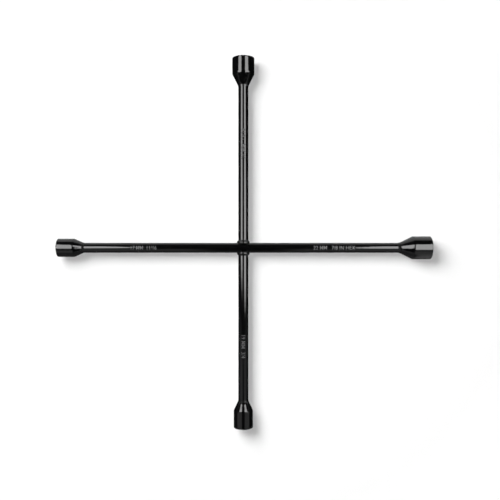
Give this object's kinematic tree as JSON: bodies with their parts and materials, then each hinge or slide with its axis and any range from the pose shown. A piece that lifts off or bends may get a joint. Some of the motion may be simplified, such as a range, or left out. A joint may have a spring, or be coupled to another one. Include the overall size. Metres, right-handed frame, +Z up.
{
  "type": "lug wrench",
  "caption": "Cross-shaped lug wrench: a round steel cross bar with an upper and a lower bar welded to its sides, and hexagon sockets of different sizes on the four ends.",
  "frame": {"origin": "under the middle of the wrench's box, in the plane that the largest socket rests on; the bars' axes run 15.57 mm above it and cross at x = -1.2 mm, y = -6.9 mm", "axes": "+Z up with the wrench lying flat, +X along the cross bar towards the 22 mm socket, +Y along the upper bar towards the 21 mm socket"},
  "size_m": [0.508, 0.504, 0.0311],
  "materials": {
    "bar_enamel": "glossy black enamel on a drawn steel bar",
    "socket_enamel": "glossy black enamel on a forged steel socket",
    "weld_enamel": "black enamel over weld metal"
  },
  "bodies": {
    "root": {"cross_bar": "bar_enamel", "upper_bar": "bar_enamel", "lower_bar": "bar_enamel", "centre_weld_upper": "weld_enamel", "centre_weld_lower": "weld_enamel", "socket_17mm": "socket_enamel", "socket_19mm": "socket_enamel", "socket_21mm": "socket_enamel", "socket_22mm": "socket_enamel", "weld_17mm": "weld_enamel", "weld_19mm": "weld_enamel", "weld_21mm": "weld_enamel", "weld_22mm": "weld_enamel"}
  },
  "joints": []
}
